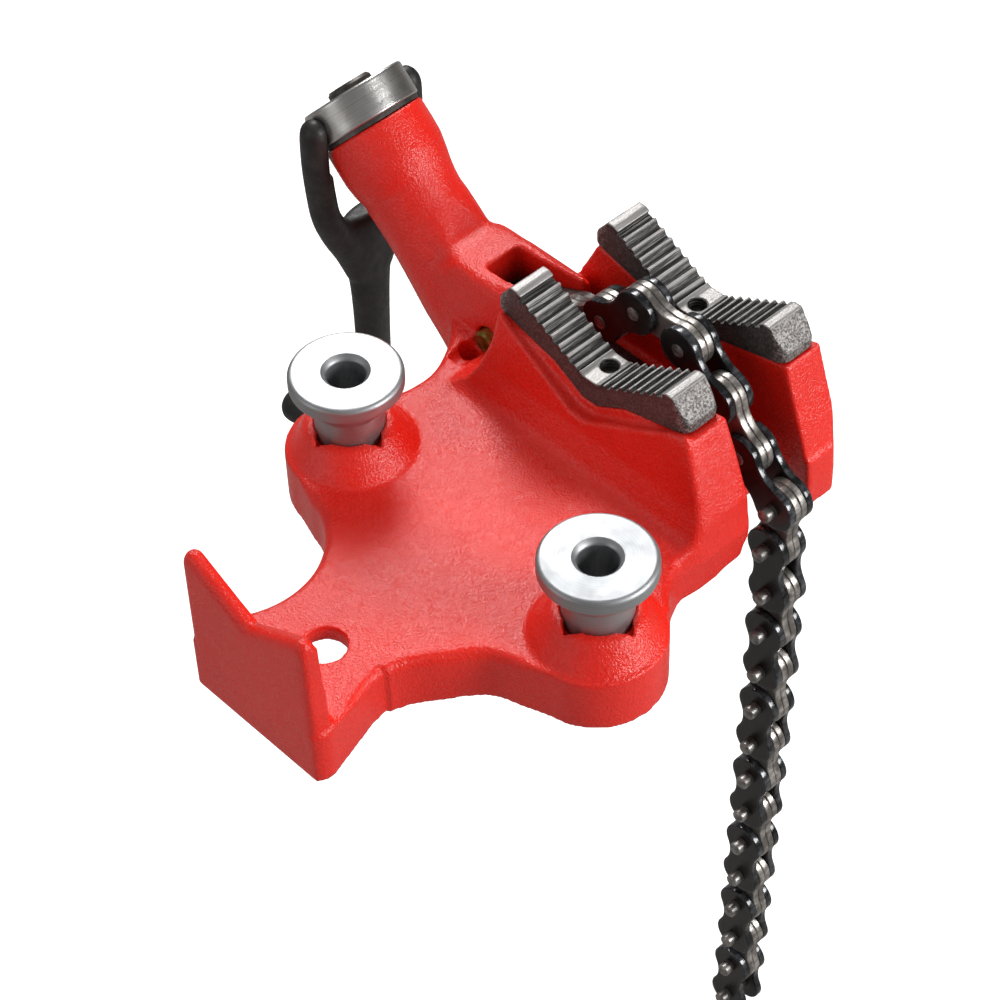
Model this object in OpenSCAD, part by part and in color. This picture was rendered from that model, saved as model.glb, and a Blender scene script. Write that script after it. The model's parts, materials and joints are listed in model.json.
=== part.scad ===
// Chain pipe vise for a bench: a cast base with two toothed V jaws, a hinged leaf chain,
// and a hand nut that draws a screw and a bell crank to tighten the chain.
// X runs across the pipe (chain hangs at +X), Y runs along the pipe, Z is up.
// The origin is midway between the two posts, on the underside of the base.

/* [Posts and bolt holes] */
// Distance between the two posts, which is also the bolt spacing
post_spacing = 108; // [106:0.5:112]
// Radius of the bolt hole through each post
post_bore_r = 6.15; // [5:0.05:7]
// Radius of a post's round flange
post_flange_r = 18; // [15:0.1:18.5]
// Radius of a post's neck
post_neck_r = 11; // [9.5:0.1:12]
// Height of the top of the posts above the bench
post_top_z = 50.3; // [46:0.1:56]
// Radius of the bolt hole beside the pipe rest
rest_hole_r = 6.8; // [5:0.1:7.2]

/* [Base casting] */
// Height of the base plate's top face
plate_h = 19.7; // [17:0.1:21]
// Thickness of the base plate's web and skirt
plate_wall = 6; // [4:0.5:8]
// Outer radius of the bosses under the posts
boss_r = 21.7; // [20:0.1:22.5]
// Radius of the scallops in the plate's edge
scallop_r = 30; // [28:0.5:31]
// Rounding of the plate's top edge
edge_r = 3; // [1.5:0.5:4]

/* [Pipe rest] */
// Distance of the rest's front face ahead of the posts
rest_y = 87.1; // [84:0.5:92]
// Half width of the rest
rest_half_w = 27.6; // [26:0.2:28.4]
// Thickness of the rest at its top edge
rest_t = 5.8; // [4:0.2:8]
// Height of the rest's two corners
rest_corner_z = 57.8; // [54:0.2:60]
// Height of the bottom of the rest's V
rest_v_z = 45.5; // [40:0.5:48]

/* [Jaws] */
// Half length of a jaw across the pipe
jaw_half_l = 37.5; // [36:0.5:38]
// Thickness of a jaw along the pipe
jaw_t = 14.3; // [13:0.1:15]
// Half width of the V between the lands
v_half_w = 31.5; // [29:0.5:32]
// Height of the lands at the jaws' ends
land_z = 64.2; // [63.5:0.1:66]
// Height of the bottom of the V
v_bottom_z = 48.4; // [47.5:0.1:49.5]
// Teeth on each flank of the V
teeth = 8; // [6:1:9]
// Depth of a tooth
tooth_depth = 1.6; // [1:0.1:2]
// Gap between the two jaws, where the chain runs
jaw_gap = 27.8; // [27:0.1:29]

/* [Chain] */
// Distance from the posts' line to the chain's middle plane
chain_y = 78.2; // [77.5:0.1:79.5]
// Pitch of the chain
pitch = 19.05; // [18.5:0.05:19.3]
// Thickness of one chain plate
plate_t = 2.6; // [2.2:0.1:3]
// Radius of a plate's round ends
lobe_r = 7.7; // [7:0.1:8.2]
// Half height of a plate at its waist
waist_h = 5.4; // [5:0.1:6.2]
// Radius of a chain pin
pin_r = 2.4; // [2:0.05:2.8]
// How far the long pins stand out at the front, to hook under the base
long_pin = 4.3; // [3:0.1:6]

/* [Screw, nut and handle] */
// Slope of the screw above the bench, in degrees
tilt = 43.5; // [42.5:0.5:44.5]
// Radius of the nut
nut_r = 18.3; // [17.6:0.1:18.4]
// Height of the nut
nut_h = 12; // [11:0.1:13]
// Outer radius of the screw's thread
screw_r = 7.9; // [7:0.1:8]
// Radius of the handle's two pegs
peg_r = 4.1; // [3.5:0.1:4.4]
// Radius of the handle's arms
arm_r = 4.6; // [4.3:0.1:5]
// Distance from the pegs' axis to the end of the straight shank
shank_end = 160; // [150:1:168]

/* [Bell crank] */
// Distance from the crank's pivot to the chain's first pin
crank_arm = 27.4; // [27:0.1:28]
// Radius of the crank's pivot pin
crank_pin_r = 4; // [3.5:0.1:4.3]
// Radius of the pin in the screw's clevis
clevis_pin_r = 3.2; // [2.8:0.1:3.4]

/* [Hidden] */
$fn = 64;
eps = 0.02;
run = 0.05;
seat = 0.3;

RED = "#c8202a";
STEEL = "#b9bcc0";
FORGED = "#3a3a3d";

links = 20;

// ---------------------------------------------------------------- helpers
function arc(cx, cy, r, a0, a1, n = 8) =
    [for (i = [0:n]) let (a = a0 + (a1 - a0) * i / n) [cx + r * cos(a), cy + r * sin(a)]];

// A profile drawn in X and Z, from y0 to y1.
module along_y(y0, y1) {
    translate([0, y1, 0]) rotate([90, 0, 0]) linear_extrude(y1 - y0) children();
}

// A profile drawn in Y and Z, from x0 to x1.
module along_x(x0, x1) {
    translate([x0, 0, 0]) rotate([90, 0, 90]) linear_extrude(x1 - x0) children();
}

module rounded_rect(x0, y0, x1, y1, r) {
    translate([x0 + r, y0]) square([x1 - x0 - 2 * r, y1 - y0]);
    translate([x0, y0 + r]) square([x1 - x0, y1 - y0 - 2 * r]);
    for (x = [x0 + r, x1 - r], y = [y0 + r, y1 - r]) translate([x, y]) circle(r);
}

// ---------------------------------------------------------------- places
post_x = post_spacing / 2;
jaws_y = 78.7;
trough_y = jaws_y - jaw_gap / 2;
front_jaw_y = trough_y - jaw_t;
rear_jaw_y = trough_y + jaw_gap;

// The nut's seat, at the top of the screw's housing.
seat_x = -127.6;
seat_z = 58.3;
washer_t = 1.4;
pivot_s = washer_t + nut_h / 2;

// A frame whose Z runs up the screw and whose origin is on the nut's seat.
module up_screw(s = 0) {
    translate([seat_x, chain_y, seat_z]) rotate([0, tilt - 90, 0]) translate([0, 0, s]) children();
}

function on_screw(s) = [seat_x - s * cos(tilt), seat_z + s * sin(tilt)];

// Bell crank: pivot, clevis pin and chain pin, in X and Z.
crank = [-56.5, 20.5];
clevis_s = -77.5;
clevis = on_screw(clevis_s);
chain_start_a = 29.5;
chain_start = crank + crank_arm * [cos(chain_start_a), sin(chain_start_a)];

// The chain lies over the V, then hangs past the edge of the bench.
over_v = [38.6, 41.7, -8.2, -41, -53, -40];
hang_lead = [-94.5, -86, -91.5, -90];
hang = -91.8;
function link_angle(i) =
    i <= len(over_v) ? over_v[i - 1]
    : i - len(over_v) <= len(hang_lead) ? hang_lead[i - len(over_v) - 1] : hang;
function pin_at(i) =
    i == 0 ? chain_start
    : pin_at(i - 1) + pitch * [cos(link_angle(i)), sin(link_angle(i))];

// ---------------------------------------------------------------- base casting
housing_r = 18;
scallops = [[51.5, -54.5], [-50.5, -54.5]];
side_scallop = [79.5, 45.5];
side_scallop_r = 28.5;
left_scallop = [-84, 37];
left_scallop_r = 25;
ped_x0 = -52;
ped_x1 = 52;
ped_rear_y = rear_jaw_y + jaw_t + 1.4;
ped_front_top = front_jaw_y - 2.8;
ped_foot_y = ped_front_top - 5.5;
trough_floor = plate_h;
slot_half = 7.3;
floor_end_x = 36.5;
rest_hole = [2.4, -61];

// Angle at a scallop's centre where its edge leaves along a tangent towards the boss.
function leave_a(c, s) =
    let (d = [s * post_x, 0] - c)
    atan2(d[1], d[0]) + s * acos(min(1, (scallop_r + boss_r) / norm(d)));

module plate_plan(inset = 0) {
    w = rest_half_w - inset;
    difference() {
        union() {
            for (k = [0, 1]) {
                s = 1 - 2 * k;
                c = scallops[k];
                a = leave_a(c, s);
                boss = [s * post_x, 0];
                polygon([
                    [0, -rest_y + inset], [s * (w - 1.2), -rest_y + inset], [s * (w + 0.3), -rest_y + 2 + inset],
                    [s * (w + 0.9), -82], [s * 22.5, -62], c + (scallop_r + inset - 0.4) * [cos(a), sin(a)],
                    boss - (boss_r - inset - 0.4) * [cos(a), sin(a)], boss, [s * 50, 60], [0, 60]]);
                translate(boss) circle(boss_r - inset);
            }
            polygon([
                [66 - inset, -10], [66 - inset, 16], [ped_x1 - inset, 45], [ped_x1 - inset, chain_y],
                [ped_x1 - 2.5 - inset, chain_y], [ped_x1 - 2.5 - inset, ped_rear_y - inset],
                [ped_x0 + inset, ped_rear_y - inset], [-74 + inset, chain_y], [-74 + inset, 50],
                [-66 + inset, 16], [-66 + inset, -10]]);
        }
        for (c = scallops) translate(c) circle(scallop_r + inset);
        translate(side_scallop) circle(side_scallop_r + inset);
        translate(left_scallop) circle(left_scallop_r + inset);
    }
}

// The scallop's cutter flares at the top, which rounds the plate's edge.
module scallop_edge(at, r) {
    translate([at[0], at[1], 0])
        rotate_extrude()
            polygon(concat([[0, -1], [r, -1]],
                arc(r + edge_r, plate_h - edge_r, edge_r, 180, 90, 6),
                [[r + edge_r, plate_h + 40], [0, plate_h + 40]]));
}

module boss_dome() {
    rotate_extrude()
        polygon(concat([[0, 0], [boss_r, 0]],
            arc(boss_r - 9, plate_h - 4.7, 9, 0, 35, 5),
            arc(post_neck_r + 0.4, 24.8, 4.5, 35, 90, 5),
            [[0, 29.3]]));
}

module boss_notch() {
    translate([post_neck_r + 0.5, 0, 29.5])
        rotate([0, 20, 0]) rotate([0, 0, 45]) cube([4.6, 4.6, 7], center = true);
}

module rest_plate() {
    r = rest_t / 2;
    mid_y = -rest_y + r;
    intersection() {
        along_y(-rest_y, -rest_y + 18)
            polygon([
                [-rest_half_w, 0], [rest_half_w, 0], [rest_half_w - 1.3, rest_corner_z - r],
                [0, rest_v_z - r], [-rest_half_w + 1.3, rest_corner_z - r]]);
        along_x(-rest_half_w, rest_half_w)
            polygon(concat([
                [-rest_y, 0], [-rest_y + 7, 0], [-rest_y + 7, plate_h - 1],
                [-rest_y + rest_t + 5.2, plate_h - 1]],
                arc(-rest_y + rest_t + 5.2, plate_h + 4, 4, 270, 180, 5),
                [[-rest_y + rest_t, rest_corner_z], [-rest_y, rest_corner_z]]));
        linear_extrude(rest_corner_z)
            rounded_rect(-rest_half_w, -rest_y, rest_half_w, -rest_y + 30, 3.5);
    }
    for (s = [-1, 1]) {
        rise = rest_corner_z - rest_v_z;
        span = rest_half_w - 1.3 - r;
        len_v = sqrt(rise * rise + span * span);
        translate([0, mid_y, rest_v_z - r])
            rotate([0, s * atan2(span, rise), 0]) cylinder(r = r, h = len_v);
        translate([s * span, mid_y, rest_corner_z - r]) sphere(r);
    }
    translate([0, mid_y, rest_v_z - r]) sphere(r);
}

// Top faces of a pedestal: the seat that carries the jaw, and the lower rim outside it.
seat_line = [[-44, 53.2], [-33, 51], [-15, 46.4], [-3, 39.4], [3, 39.4], [15, 46.4], [33, 51],
             [44, 53.2]];
rim_line = [[-44, 56.7], [-3, 36.2], [3, 36.2], [44, 56.7]];
rear_rim = [[-44, 56.7], [-3, 36.2], [3, 36.2], [44, 54.4]];
left_wall = [[-36.6, 60], [-38.7, 42], [-42.6, 30], [-46, 23.5], [-52, plate_h], [-52, 0]];
right_wall = [[52, 0], [53, 14], [51.8, 27], [47.2, 42], [40.4, 60]];
rear_wall = [[49.6, 0], [48.7, 19], [43.8, 42], [39.4, 60]];

module pedestal_side(top_line, wall) {
    intersection() {
        polygon(concat(left_wall, wall));
        polygon(concat([[-60, -1]], [[-60, top_line[0][1]]], top_line,
            [[60, top_line[len(top_line) - 1][1]], [60, -1]]));
    }
}

module front_pedestal() {
    inner = front_jaw_y + jaw_t;
    intersection() {
        union() {
            along_y(ped_foot_y - 7, front_jaw_y - 0.4) pedestal_side(rim_line, right_wall);
            along_y(front_jaw_y - 0.4, inner) pedestal_side(seat_line, right_wall);
        }
        along_x(-60, 60)
            polygon(concat([[ped_foot_y - 6, 0]],
                arc(ped_foot_y - 6, plate_h + 6, 6, -90, -10, 8), [[ped_front_top - 3, 32]],
                arc(ped_front_top + 2, 53, 2, 180, 90, 3), [[inner, 70], [inner, 0]]));
    }
}

module rear_pedestal() {
    intersection() {
        union() {
            along_y(rear_jaw_y + jaw_t + 0.4, ped_rear_y) pedestal_side(rear_rim, rear_wall);
            along_y(rear_jaw_y, rear_jaw_y + jaw_t + 0.4) pedestal_side(seat_line, rear_wall);
        }
        linear_extrude(70) rounded_rect(-60, rear_jaw_y - 10, 60, ped_rear_y, 3);
    }
}

module screw_housing() {
    intersection() {
        union() {
            up_screw(-120)
                rotate_extrude()
                    polygon([
                        [0, 90], [15.6, 94], [16.2, 98], [17.3, 102], [housing_r, 107],
                        [housing_r, 119.4], [housing_r - 0.6, 120], [0, 120]]);
            up_screw(-120) translate([0, -0.6, 0])
                rotate_extrude()
                    polygon([[0, 0], [17, 0], [17, 60], [16.2, 74], [15.8, 86], [16, 97], [0, 97]]);
        }
        translate([-200, 0, 0]) cube([200, 200, 200]);
    }
    // Round lug cast under the collar, inside the circle that the handle's arms sweep
    up_screw(-15) translate([-housing_r + 0.5, 0, 0]) sphere(4.6);
    // Low box that joins the housing to the pedestals
    intersection() {
        along_y(chain_y - 24, chain_y + 24)
            polygon([[-64, 0], [-79.5, 36], [-76.5, 39.2], [-60, 39.4], [-34, 42.5], [-34, 0]]);
        along_x(-90, -30)
            polygon([
                [chain_y - 18.3, 0], [chain_y - 18, 12], [chain_y - 14, 36], [chain_y - 12.6, 38.4],
                [chain_y - 10.2, 39.6], [chain_y - 10.2, 46], [chain_y + 9, 46],
                [chain_y + 9, 39.6], [chain_y + 12, 38], [chain_y + 14, 34],
                [chain_y + 18, 12], [chain_y + 18.3, 0]]);
    }
}

module crank_cavity() {
    along_y(chain_y - slot_half, chain_y + slot_half) {
        polygon([[-67, 80], [-67, 24], [-92, 24], [-80, -1], [-24, -1], [-24, 80]]);
        polygon([on_screw(-48) + [-9 * sin(tilt), -9 * cos(tilt)],
                 on_screw(-48) + [9 * sin(tilt), 9 * cos(tilt)],
                 on_screw(-90) + [9 * sin(tilt), 9 * cos(tilt)],
                 on_screw(-90) + [-9 * sin(tilt), -9 * cos(tilt)]]);
    }
    up_screw(-70) cylinder(r = screw_r + 0.35, h = 80);
}

module base_casting() {
    color(RED) difference() {
        union() {
            difference() {
                linear_extrude(plate_h) plate_plan();
                for (c = scallops) scallop_edge(c, scallop_r);
                scallop_edge(side_scallop, side_scallop_r);
                scallop_edge(left_scallop, left_scallop_r);
                // Hollow underside, inside a skirt
                translate([0, 0, -1]) linear_extrude(plate_h - plate_wall + 1) difference() {
                    plate_plan(plate_wall);
                    translate([-80, ped_foot_y - 9]) square([160, 90]);
                    for (s = [-1, 1]) translate([s * post_x, 0]) circle(boss_r - 2);
                }
            }
            for (s = [-1, 1]) translate([s * post_x, 0, 0]) boss_dome();
            rest_plate();
            front_pedestal();
            rear_pedestal();
            screw_housing();
        }
        // Bores for the posts, with four notches round each neck
        for (s = [-1, 1]) translate([s * post_x, 0, 0]) {
            translate([0, 0, -1]) cylinder(r = post_neck_r, h = 60);
            for (a = [0:90:270]) rotate([0, 0, a]) boss_notch();
        }
        translate([rest_hole[0], rest_hole[1], -1]) cylinder(r = rest_hole_r, h = 40);
        // Broken corner at the rear right
        translate([ped_x1 - 2.5, ped_rear_y, -1])
            rotate([0, 0, 45]) cube([5.6, 12, 140], center = true);
        // Trough for the chain, open at its right end
        translate([-38, trough_y, trough_floor]) cube([120, jaw_gap, 60]);
        translate([floor_end_x, trough_y, -1]) cube([60, jaw_gap, 60]);
        crank_cavity();
        // Pockets under the pedestals, and holes for the jaw screws
        for (y = [front_jaw_y, rear_jaw_y])
            along_y(y + 3, y + jaw_t - 4.5)
                polygon([[-42, -1], [-36, 28], [36, 28], [44, -1]]);
        for (y = [front_screw_y, rear_screw_y])
            translate([0, y, 18]) {
                cylinder(r = jaw_screw_r + 0.3, h = 32);
                cylinder(r = jaw_head_r + 0.3, h = 10);
            }
        // Bore for the crank's pivot pin
        translate([crank[0], chain_y + 30, crank[1]])
            rotate([90, 0, 0]) cylinder(r = crank_pin_r, h = 60);
        // Notches that the long chain pins hook under
        for (y = [trough_y, rear_jaw_y])
            translate([ped_x1 - 6, y + 6, -1])
                rotate([90, 0, 0]) cylinder(r = pin_r + 0.8, h = 12);
    }
}

// ---------------------------------------------------------------- jaws
jaw_screw_r = 3.2;
jaw_head_r = 4.5;
jaw_hole_y = 5.4;
front_screw_y = front_jaw_y + jaw_t - jaw_hole_y;
rear_screw_y = rear_jaw_y + jaw_hole_y;

// Teeth run along the pipe; each groove has a steep upper side.
module flank_teeth(s) {
    rise = land_z - v_bottom_z;
    flank = sqrt(rise * rise + v_half_w * v_half_w);
    first = 3.4;
    step = (flank - first - 0.8) / teeth;
    for (i = [0:teeth - 1])
        translate([0, 0, v_bottom_z])
            rotate([0, -s * atan2(rise, v_half_w), 0])
                translate([s * (first + i * step), 0, 0])
                    along_y(-5, jaw_t + 5)
                        polygon([[0, 1.2], [s * 0.35, 0.02], [s * (step - 2.5), -tooth_depth],
                                 [s * (step - 1.5), -tooth_depth], [s * (step - 1.1), 1.2]]);
}

module jaw(hole_y) {
    end_r = 3.2;
    difference() {
        intersection() {
            along_y(0, jaw_t)
                polygon([
                    [-jaw_half_l, 52.1], [-33, 51], [-15, 46.4], [-3, 39.4], [3, 39.4],
                    [15, 46.4], [33, 51], [jaw_half_l, 52.1], [jaw_half_l - 0.3, 56.5],
                    [jaw_half_l - 3.4, land_z], [v_half_w, land_z], [2.6, v_bottom_z],
                    [-2.6, v_bottom_z], [-v_half_w, land_z], [-jaw_half_l + 3.4, land_z],
                    [-jaw_half_l + 0.3, 56.5]]);
            translate([0, 0, 30]) linear_extrude(40)
                rounded_rect(-jaw_half_l, 0, jaw_half_l, jaw_t, end_r);
        }
        for (s = [-1, 1]) flank_teeth(s);
        translate([0, hole_y, 30]) cylinder(r = jaw_screw_r, h = 30);
    }
}

module front_jaw() {
    color(FORGED) translate([0, front_jaw_y, 0]) jaw(jaw_t - jaw_hole_y);
}

module rear_jaw() {
    color(FORGED) translate([0, rear_jaw_y, 0]) jaw(jaw_hole_y);
}

module jaw_screw(y) {
    translate([0, y, 28 - 4.5]) cylinder(r = jaw_head_r, h = 4.5, $fn = 6);
    translate([0, y, 24]) cylinder(r = jaw_screw_r - run, h = 21);
}

module front_jaw_screw() {
    color(FORGED) jaw_screw(front_screw_y);
}

module rear_jaw_screw() {
    color(FORGED) jaw_screw(rear_screw_y);
}

// ---------------------------------------------------------------- posts
module post() {
    fr = post_flange_r;
    rotate_extrude()
        polygon(concat(
            [[post_bore_r, 0], [post_neck_r, 0], [post_neck_r, 36.5],
             [post_neck_r + 0.6, 37.5], [fr - 4.2, 42], [fr - 3.8, 43.2], [fr - 1.6, 44.3]],
            arc(fr - 1.8, 46, 1.8, -40, 0, 3),
            arc(fr - 1.6, post_top_z - 1.6, 1.6, 0, 90, 4),
            [[post_bore_r + 1.4, post_top_z], [post_bore_r, post_top_z - 1.6]]));
}

module left_post() {
    color(STEEL) translate([-post_x, 0, 0]) post();
}

module right_post() {
    color(STEEL) translate([post_x, 0, 0]) post();
}

// ---------------------------------------------------------------- nut, screw and handle
module thrust_washer() {
    color(FORGED) up_screw()
        difference() {
            cylinder(r = housing_r - 0.5, h = washer_t);
            translate([0, 0, -1]) cylinder(r = screw_r + 0.4, h = washer_t + 2);
        }
}

module handle_nut() {
    color(STEEL) up_screw(washer_t)
        difference() {
            rotate_extrude()
                polygon([
                    [screw_r + run, 0], [nut_r - 0.5, 0], [nut_r, 0.5], [nut_r, nut_h - 1.2],
                    [nut_r - 1.2, nut_h], [screw_r + 0.8, nut_h], [screw_r + run, nut_h - 0.8]]);
            for (s = [-1, 1])
                translate([0, s * (nut_r - 6.5), nut_h / 2])
                    rotate([-s * 90, 0, 0]) cylinder(r = peg_r + run, h = 10);
        }
}

// The screw slides but does not turn; its lower end is a clevis.
module draw_screw() {
    clevis_w = 2 * slot_half - 1;
    color(FORGED) difference() {
        union() {
            up_screw(clevis_s + 14)
                cylinder(r = screw_r, h = washer_t + nut_h + 2.4 - clevis_s - 14 - 1);
            up_screw(washer_t + nut_h + 1.4) cylinder(r1 = screw_r, r2 = screw_r - 1, h = 1);
            intersection() {
                up_screw(clevis_s)
                    union() {
                        translate([0, clevis_w / 2, 0]) rotate([90, 0, 0]) cylinder(r = 6.2, h = clevis_w);
                        translate([-6.2, -clevis_w / 2, 0]) cube([12.4, clevis_w, 18]);
                    }
                translate([-200, 0, 0.4]) cube([200, 200, 200]);
            }
        }
        up_screw(clevis_s) {
            translate([-12, -2.9, -12]) cube([24, 5.8, 25]);
            translate([0, 12, 0]) rotate([90, 0, 0]) cylinder(r = clevis_pin_r + run, h = 24);
        }
    }
}

module clevis_pin() {
    half = slot_half - 0.5;
    color(STEEL) up_screw(clevis_s) translate([0, half, 0])
        rotate([90, 0, 0]) cylinder(r = clevis_pin_r, h = 2 * half);
}

// Handle: a forged fork that hangs from two pegs in the nut, with its end bent outward.
handle_lean = 1.5;
pivot = on_screw(pivot_s);
arm_y = 20.6;
eye_gap = nut_r + 0.15;

module handle_frame() {
    translate([pivot[0], chain_y, pivot[1]]) rotate([0, handle_lean, 0]) children();
}

module capsule(a, b, ra, rb) {
    hull() {
        translate(a) sphere(ra, $fn = 24);
        translate(b) sphere(rb, $fn = 24);
    }
}

module handle() {
    color(FORGED) handle_frame() {
        difference() {
            for (s = [-1, 1]) {
                capsule([0, s * arm_y, 0], [0, s * (arm_y - 0.8), -32], arm_r, arm_r);
                capsule([0, s * (arm_y - 0.8), -32], [0, s * 6, -60], arm_r, arm_r + 0.6);
            }
            // Flat inner faces where the arms pass the nut
            rotate([90, 0, 0]) cylinder(r = 17, h = 2 * eye_gap, center = true);
        }
        for (s = [-1, 1])
            translate([0, s * (nut_r - 6), 0])
                rotate([-s * 90, 0, 0]) cylinder(r = peg_r, h = arm_y - nut_r + 6);
        capsule([0, -9, -52], [0, 9, -52], 4.8, 4.8);
        hull() {
            translate([0, 0, -59]) scale([0.62, 1.25, 1]) sphere(8.4, $fn = 24);
            translate([0, 0, -90]) scale([0.75, 1, 1]) sphere(7.2, $fn = 24);
            translate([0, 0, -shank_end]) scale([0.8, 1, 1]) sphere(6.2, $fn = 24);
        }
        hull() {
            translate([0, 0, -shank_end]) scale([0.8, 1, 1]) sphere(6.2, $fn = 24);
            translate([-43, 0, -shank_end - 11]) scale([1, 1.15, 0.8]) sphere(8.2, $fn = 24);
        }
    }
}

// ---------------------------------------------------------------- bell crank and pins
crank_hub_r = 8.5;
crank_w = 2 * slot_half - 1;

module xz_bar(a, b, w, ra, rb) {
    d = b - a;
    l = norm(d);
    ang = asin((ra - rb) / l);
    translate([a[0], chain_y - w / 2, a[1]]) rotate([0, -atan2(d[1], d[0]), 0])
        rotate([-90, 0, 0]) linear_extrude(w) {
            circle(ra);
            translate([l, 0]) circle(rb);
            polygon([
                [ra * sin(ang), ra * cos(ang)], [l + rb * sin(ang), rb * cos(ang)],
                [l + rb * sin(ang), -rb * cos(ang)], [ra * sin(ang), -ra * cos(ang)]]);
        }
}

module bell_crank() {
    tongue = 5.2;
    dir = (clevis - crank) / norm(clevis - crank);
    color(FORGED) difference() {
        union() {
            translate([crank[0], chain_y + crank_w / 2, crank[1]])
                rotate([90, 0, 0]) cylinder(r = crank_hub_r, h = crank_w);
            xz_bar(crank, clevis, tongue, crank_hub_r, 6);
            xz_bar(crank, chain_start, crank_w, crank_hub_r, 6);
        }
        // Slot for the clevis pin, which moves straight while the crank turns
        xz_bar(clevis - 0.8 * dir, clevis + 4 * dir, 30, clevis_pin_r + 0.4, clevis_pin_r + 0.4);
        // Fork for the chain's first link
        xz_bar(chain_start, chain_start + 1.2 * (chain_start - crank), 2 * plate_t + 2 * seat, lobe_r + 0.8, lobe_r + 0.8);
        translate([chain_start[0], chain_y + 20, chain_start[1]])
            rotate([90, 0, 0]) cylinder(r = pin_r + run, h = 40);
        translate([crank[0], chain_y + 20, crank[1]])
            rotate([90, 0, 0]) cylinder(r = crank_pin_r + run, h = 40);
    }
}

module crank_pivot_pin() {
    len_front = 19.7;
    len_rear = 20;
    color("#b7a441") translate([crank[0], chain_y - len_front, crank[1]]) rotate([-90, 0, 0]) {
        cylinder(r1 = crank_pin_r - 0.8, r2 = crank_pin_r, h = 0.8);
        translate([0, 0, 0.8]) cylinder(r = crank_pin_r, h = len_front + len_rear - 1.6);
        translate([0, 0, len_front + len_rear - 0.8])
            cylinder(r1 = crank_pin_r, r2 = crank_pin_r - 0.8, h = 0.8);
    }
}

module chain_anchor_pin() {
    color(STEEL) translate([chain_start[0], chain_y + crank_w / 2, chain_start[1]])
        rotate([90, 0, 0]) cylinder(r = pin_r, h = crank_w);
}

// ---------------------------------------------------------------- chain
// Plates have round lobes and a drawn-in waist.
module plate_profile() {
    blend = (pow(pitch / 2, 2) + pow(waist_h, 2) - pow(lobe_r, 2)) / (2 * (lobe_r - waist_h));
    difference() {
        union() {
            circle(lobe_r);
            translate([pitch, 0]) circle(lobe_r);
            waist_x = pitch / 2 * lobe_r / (lobe_r + blend);
            translate([waist_x, -lobe_r]) square([pitch - 2 * waist_x, 2 * lobe_r]);
        }
        for (s = [-1, 1]) translate([pitch / 2, s * (waist_h + blend)]) circle(blend);
    }
}

module link_frame(i) {
    a = pin_at(i - 1);
    translate([a[0], chain_y, a[1]]) rotate([0, -link_angle(i), 0]) rotate([90, 0, 0]) children();
}

module link_plate(y0, hole_r) {
    translate([0, 0, y0]) linear_extrude(plate_t)
        difference() {
            plate_profile();
            circle(hole_r);
            translate([pitch, 0]) circle(hole_r);
        }
}

// Odd links are two plates side by side; even links are two plates outside them.
module chain_link(i) {
    link_frame(i) {
        if (i % 2 == 1) {
            color("#8d8b86") {
                link_plate(0, pin_r + run);
                link_plate(-plate_t, pin_r + run);
            }
        } else {
            color("#1d1d1f") {
                link_plate(plate_t + 0.1, pin_r);
                link_plate(-2 * plate_t - 0.1, pin_r);
            }
        }
    }
}

// Pins are long from the sixth joint on, where they can hook under the base.
first_long = 6;

module link_pins(i) {
    half = 2 * plate_t + 0.1;
    color(STEEL) link_frame(i)
        for (k = [0, 1]) {
            front = half + (i + k >= first_long + 1 ? long_pin : 0.5);
            translate([k * pitch, 0, -half - 0.5]) {
                cylinder(r1 = pin_r - 0.4, r2 = pin_r, h = 0.4);
                translate([0, 0, 0.4]) cylinder(r = pin_r, h = half + 0.5 + front - 0.8);
                translate([0, 0, half + 0.5 + front - 0.4])
                    cylinder(r1 = pin_r, r2 = pin_r - 0.4, h = 0.4);
            }
        }
}

base_casting();
front_jaw();
rear_jaw();
front_jaw_screw();
rear_jaw_screw();
left_post();
right_post();
thrust_washer();
handle_nut();
handle();
draw_screw();
clevis_pin();
bell_crank();
crank_pivot_pin();
chain_anchor_pin();
for (i = [1:links])
    chain_link(i);
for (i = [2:2:links])
    link_pins(i);
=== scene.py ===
import json
import math

import bmesh
import bpy
import numpy as np
from mathutils import Matrix, Vector


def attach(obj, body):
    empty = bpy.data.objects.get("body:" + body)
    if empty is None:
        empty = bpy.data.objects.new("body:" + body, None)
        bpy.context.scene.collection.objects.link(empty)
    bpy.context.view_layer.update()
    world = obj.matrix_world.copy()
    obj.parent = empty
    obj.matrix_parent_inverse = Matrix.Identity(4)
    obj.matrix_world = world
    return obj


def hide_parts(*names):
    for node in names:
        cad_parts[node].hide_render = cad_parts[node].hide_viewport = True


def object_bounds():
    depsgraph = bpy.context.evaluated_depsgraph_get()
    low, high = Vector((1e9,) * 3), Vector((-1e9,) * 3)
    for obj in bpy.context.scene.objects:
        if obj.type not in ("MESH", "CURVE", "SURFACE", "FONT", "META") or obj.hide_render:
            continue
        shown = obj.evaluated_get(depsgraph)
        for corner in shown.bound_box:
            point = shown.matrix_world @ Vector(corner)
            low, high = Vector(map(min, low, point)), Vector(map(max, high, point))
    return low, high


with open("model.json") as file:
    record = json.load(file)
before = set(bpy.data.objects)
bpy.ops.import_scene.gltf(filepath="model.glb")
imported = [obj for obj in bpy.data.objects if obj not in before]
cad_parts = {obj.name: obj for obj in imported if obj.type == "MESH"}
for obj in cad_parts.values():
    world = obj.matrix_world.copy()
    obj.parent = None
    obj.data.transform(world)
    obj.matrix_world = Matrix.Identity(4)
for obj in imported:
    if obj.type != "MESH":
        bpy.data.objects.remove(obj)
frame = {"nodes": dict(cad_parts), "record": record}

MM = 0.001
NODES = frame["nodes"]
SCENE = bpy.context.scene
cad_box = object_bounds()

# ------------------------------------------------------------------ places and sizes, in millimetres
CHAIN_Y = 78.2

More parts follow.
